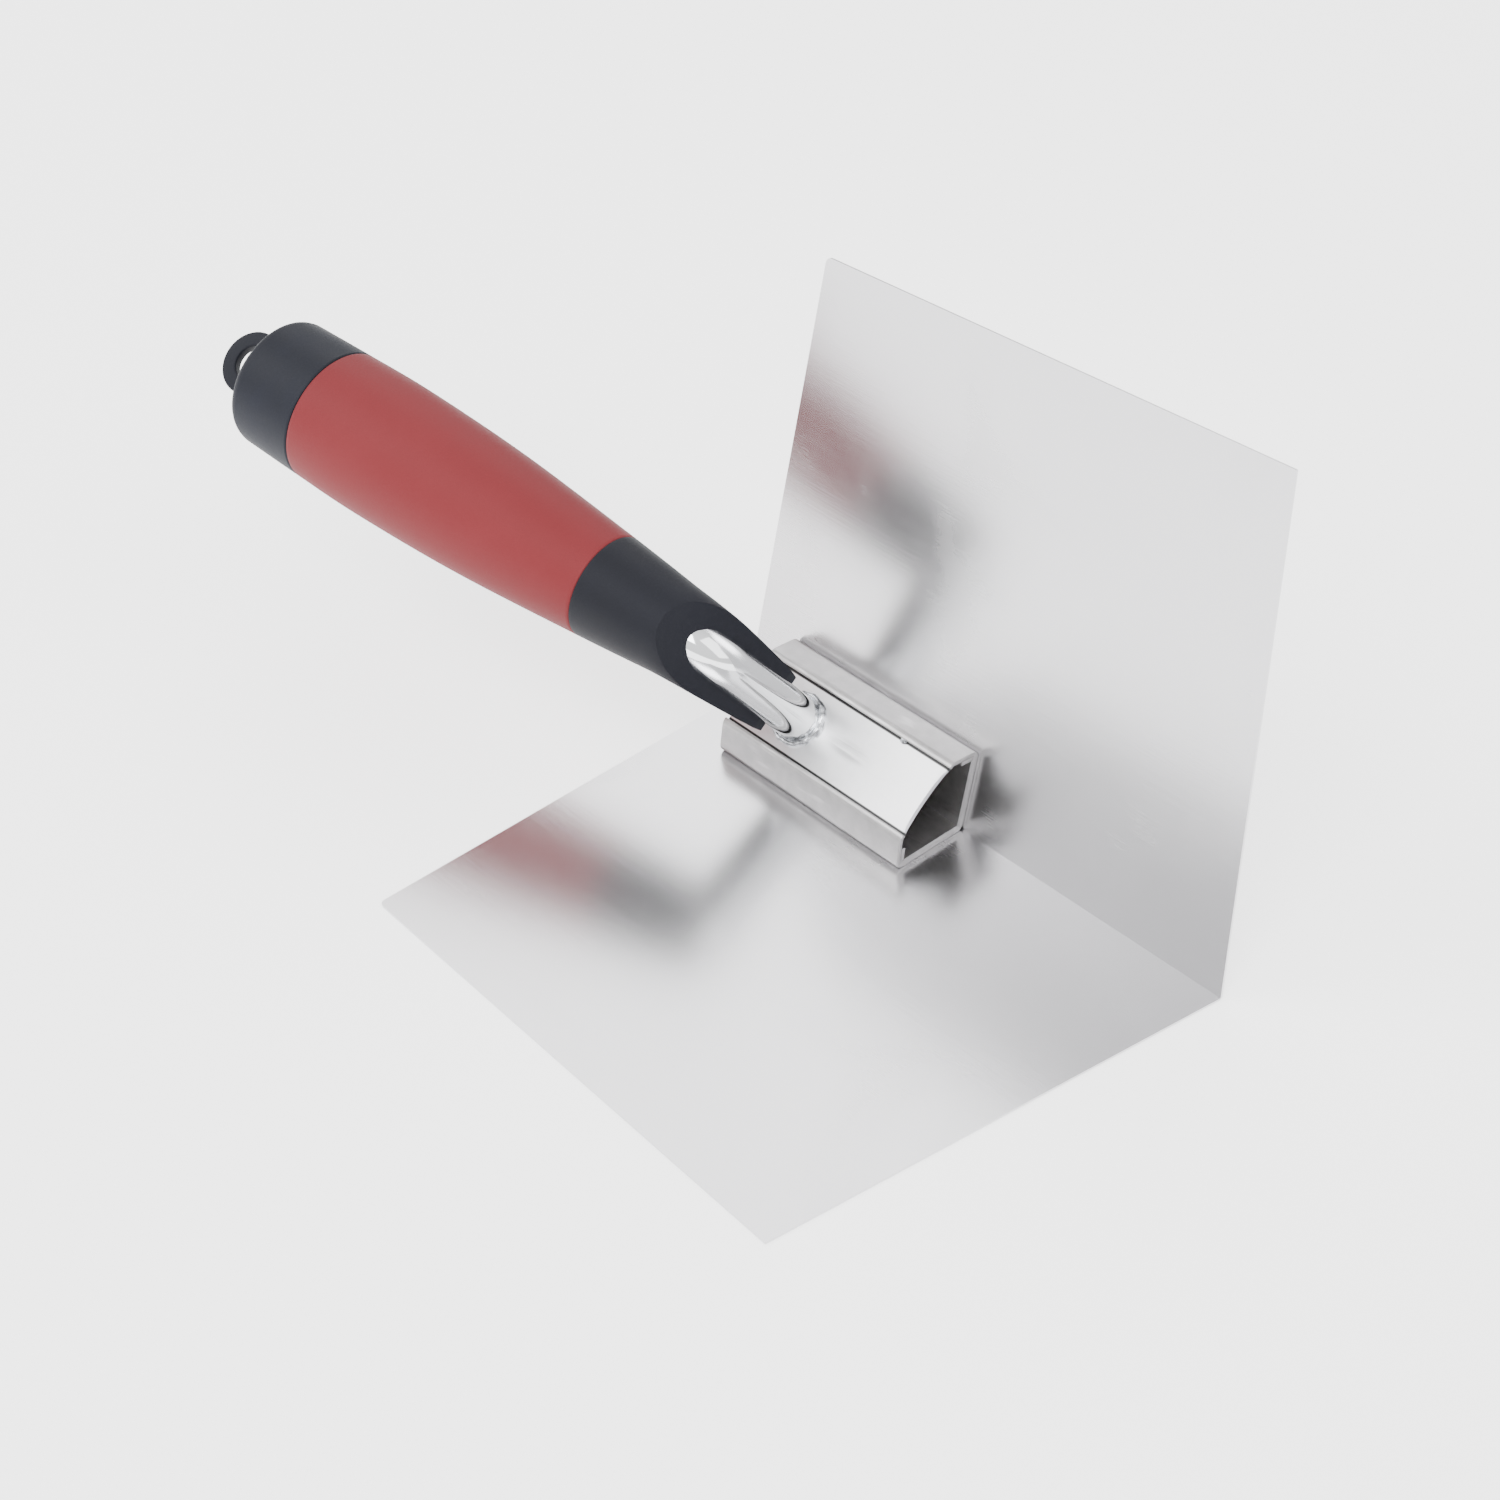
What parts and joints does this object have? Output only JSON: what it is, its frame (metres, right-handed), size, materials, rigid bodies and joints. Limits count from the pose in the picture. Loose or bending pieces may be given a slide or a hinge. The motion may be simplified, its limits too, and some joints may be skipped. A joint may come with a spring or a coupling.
{
  "type": "inside corner trowel",
  "caption": "Plastering trowel with a folded two-leaf blade for inside corners, a welded mount, a bent tang and a soft round handle with a hang loop.",
  "frame": {"origin": "middle of the resting leaf's outer face, halfway along the fold", "axes": "+X along the fold from the blade's near end towards the handle; +Z out of the resting leaf towards the handle; the leaf runs from the fold along +Y"},
  "size_m": [0.2361, 0.1224, 0.0975],
  "materials": {
    "blade_steel": "satin, faint rolling grain",
    "mount_steel": "satin zinc-plated sheet",
    "plate_steel": "bright satin",
    "bright_chrome": "bright plated",
    "weld_metal": "rough weld bead under plating",
    "nose_rubber": "matte, smooth",
    "core_plastic": "moulded, hidden",
    "grip_rubber": "matte, fine moulded grain",
    "cap_rubber": "matte, smooth",
    "loop_plastic": "matte"
  },
  "bodies": {
    "root": {"blade": "blade_steel", "mounting_channel": "mount_steel", "channel_liner": "mount_steel", "mounting_plate": "plate_steel", "plate_tack": "weld_metal", "tang": "bright_chrome", "tang_weld": "weld_metal", "nose_sleeve": "nose_rubber", "handle_core": "core_plastic", "grip_sleeve": "grip_rubber", "end_cap": "cap_rubber", "hang_loop": "loop_plastic"}
  },
  "joints": []
}
